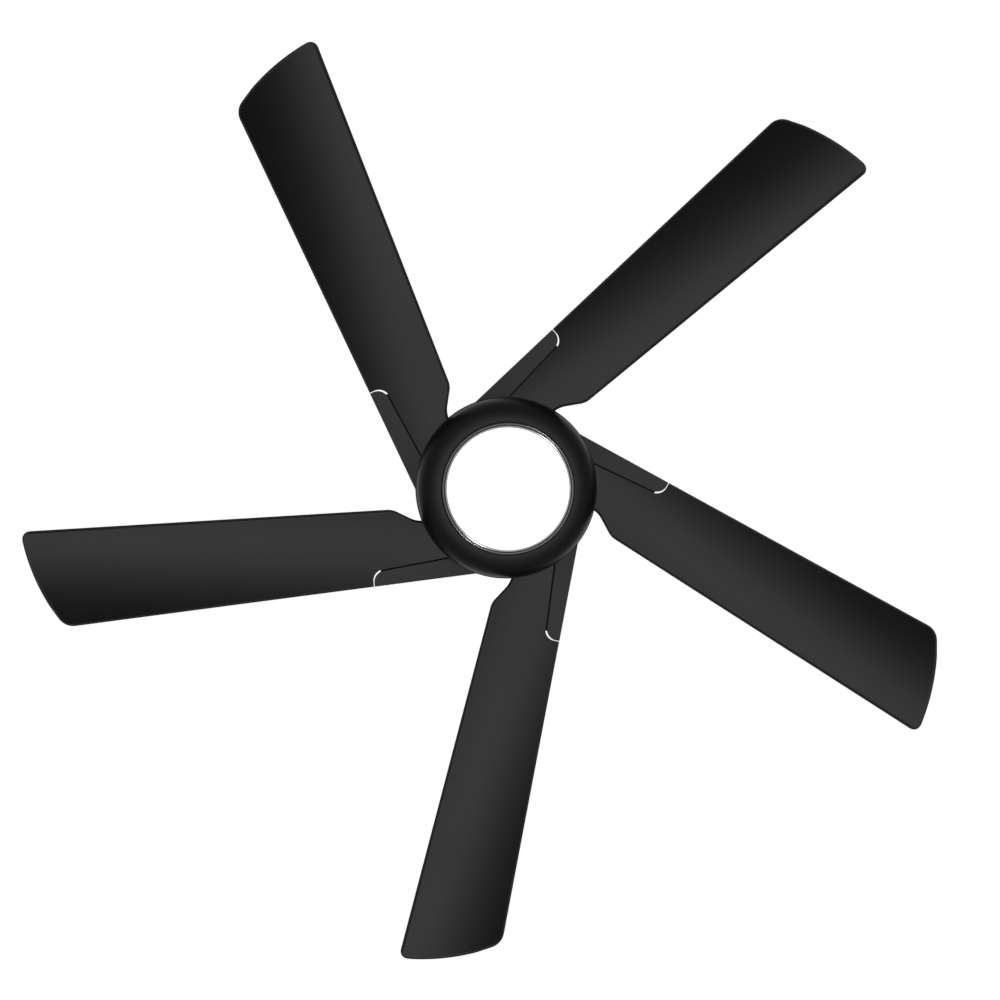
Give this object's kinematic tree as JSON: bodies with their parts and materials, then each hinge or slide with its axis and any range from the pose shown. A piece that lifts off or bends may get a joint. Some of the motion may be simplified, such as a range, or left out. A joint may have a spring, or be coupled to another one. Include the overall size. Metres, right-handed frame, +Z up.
{
  "type": "ceiling fan with light",
  "caption": "Low-profile ceiling fan on a short downrod: angled cambered blades with a stepped root, inlaid blade arms, domed light housing and a round opal lamp lens.",
  "frame": {"origin": "centre of the mounting bracket's top face, on the fan's axis, in the ceiling plane", "axes": "+Z up into the ceiling along the fan's axis; +X and +Y lie in the ceiling plane, +X along the line of the two ceiling slots"},
  "size_m": [1.2556, 1.2518, 0.349],
  "materials": {
    "zinc_steel": "zinc plated",
    "black_metal": "satin black paint",
    "arm_metal": "satin black paint",
    "blade_plastic": "satin black",
    "grey_plastic": "moulded",
    "liner_plastic": "moulded nylon",
    "cast_metal": "cast",
    "core_steel": "laminated",
    "copper": "enamelled copper wire",
    "magnet": "coated",
    "lead_insulation": "insulated wire",
    "pan_aluminium": "sheet",
    "board_white": "white solder mask",
    "chip_glow": "lit lamp chips",
    "gasket_rubber": "soft",
    "polished_ring": "polished",
    "opal": "opal diffuser"
  },
  "bodies": {
    "mount": {"mounting_bracket": "zinc_steel", "canopy": "black_metal", "canopy_screws": "black_metal", "receiver_module": "grey_plastic"},
    "seat_liner": {"ball_seat_liner": "liner_plastic"},
    "hanger": {"hanger_ball": "cast_metal", "ball_cross_pin": "zinc_steel", "ball_set_screw": "zinc_steel", "downrod": "black_metal", "clevis_pin": "zinc_steel", "clevis_hairpin": "zinc_steel", "motor_coupling": "cast_metal", "coupling_set_screws": "zinc_steel", "motor_shaft": "zinc_steel", "supply_leads": "lead_insulation", "motor_housing": "black_metal", "housing_screws": "zinc_steel", "stator_core": "core_steel", "stator_windings": "copper", "bearing_inner_races": "zinc_steel", "light_housing": "black_metal", "shaft_nut": "zinc_steel", "lamp_driver": "grey_plastic", "pan_standoffs": "zinc_steel", "lamp_pan": "pan_aluminium", "lamp_board": "board_white", "lamp_board_screws": "zinc_steel", "lamp_chips": "chip_glow", "lens_gasket": "gasket_rubber", "lens_trim_ring": "polished_ring"},
    "rotor": {"rotor_shell": "cast_metal", "rotor_magnets": "magnet", "bearing_outer_races": "zinc_steel", "bearing_balls": "zinc_steel", "rotor_flange": "cast_metal", "blade_arm_screws": "zinc_steel", "blade_screws": "black_metal", "blade_1": "blade_plastic", "blade_2": "blade_plastic", "blade_3": "blade_plastic", "blade_4": "blade_plastic", "blade_5": "blade_plastic", "blade_arm_1": "arm_metal", "blade_arm_2": "arm_metal", "blade_arm_3": "arm_metal", "blade_arm_4": "arm_metal", "blade_arm_5": "arm_metal"},
    "lens": {"lens": "opal"},
    "coupling_cover": {"coupling_cover": "black_metal"}
  },
  "joints": [
    {"name": "ball_tilt_x", "type": "hinge", "parent": "mount", "child": "seat_liner", "pos_m": [0, 0, -0.04], "axis": [1, 0, 0], "range_deg": [-12, 12]},
    {"name": "ball_tilt_y", "type": "hinge", "parent": "seat_liner", "child": "hanger", "pos_m": [0, 0, -0.04], "axis": [0, 1, 0], "range_deg": [-12, 12]},
    {"name": "rotor_spin", "type": "hinge", "parent": "hanger", "child": "rotor", "pos_m": [0, 0, -0.228], "axis": [0, 0, 1], "continuous": true},
    {"name": "lens_twist", "type": "hinge", "parent": "hanger", "child": "lens", "pos_m": [0, 0, -0.33], "axis": [0, 0, 1], "range_deg": [0, 15]},
    {"name": "cover_lift", "type": "slide", "parent": "hanger", "child": "coupling_cover", "axis": [0, 0, 1], "range_m": [0, 0.05]}
  ]
}
